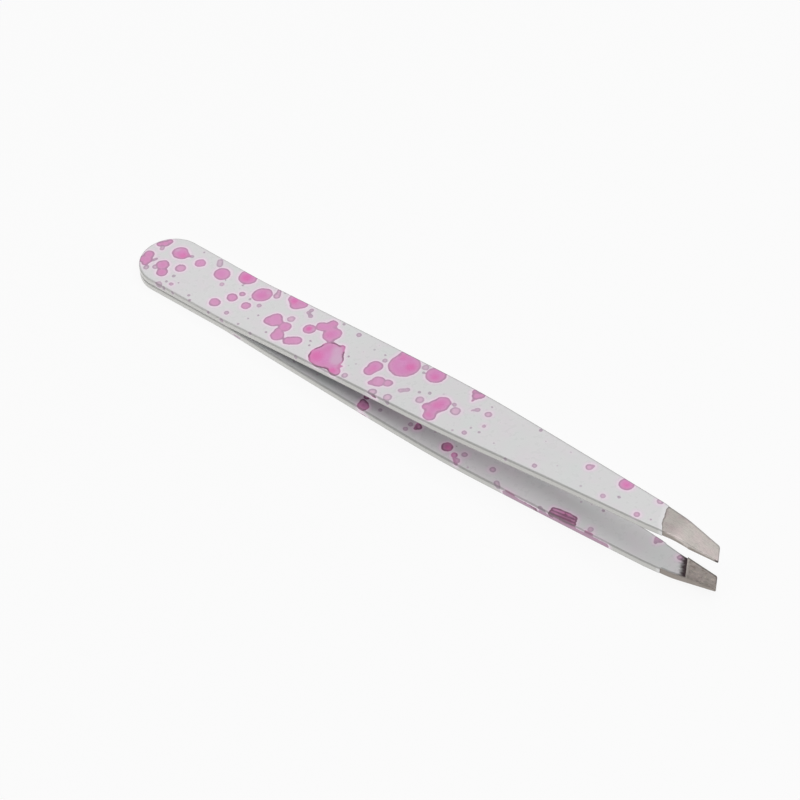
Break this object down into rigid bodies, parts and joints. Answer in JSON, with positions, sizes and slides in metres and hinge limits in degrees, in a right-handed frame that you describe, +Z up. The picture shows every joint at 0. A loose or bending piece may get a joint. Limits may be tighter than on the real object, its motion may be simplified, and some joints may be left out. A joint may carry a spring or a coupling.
{
  "type": "slant tweezers",
  "caption": "Sprung steel tweezers with bowed arms welded at a round head, gloss white lacquer splashed with pink drops, and bare inward-canted jaws cut at a slant.",
  "frame": {"origin": "on the surface that the tweezers lie on, under the middle of their bounding box", "axes": "+X from the round head to the jaws, +Y across the width towards the short side of the slant, +Z up; the tweezers lie on the end of the head and the belly of the lower arm"},
  "size_m": [0.0952, 0.0092, 0.0085],
  "materials": {
    "steel": "fine ground satin",
    "lacquer": "gloss white lacquer with pink droplets in it"
  },
  "bodies": {
    "head": {"upper_arm_heel": "steel", "lower_arm_heel": "steel", "heel_welds": "steel", "head_lacquer": "lacquer"},
    "upper_blade": {"upper_arm_blade": "steel", "upper_blade_lacquer": "lacquer"},
    "lower_blade": {"lower_arm_blade": "steel", "lower_blade_lacquer": "lacquer"}
  },
  "joints": [
    {"name": "upper_flex", "type": "hinge", "parent": "head", "child": "upper_blade", "pos_m": [-0.01901, 0, 0.00331], "axis": [0, 1, 0], "range_deg": [0, 2.13], "stiffness_Nm_per_rad": 4},
    {"name": "lower_flex", "type": "hinge", "parent": "head", "child": "lower_blade", "pos_m": [-0.01892, 0, 0.00089], "axis": [0, -1, 0], "range_deg": [0, 2.13], "stiffness_Nm_per_rad": 4}
  ],
  "couplings": [
    {"joint": "lower_flex", "follows": "upper_flex", "ratio": 1}
  ]
}
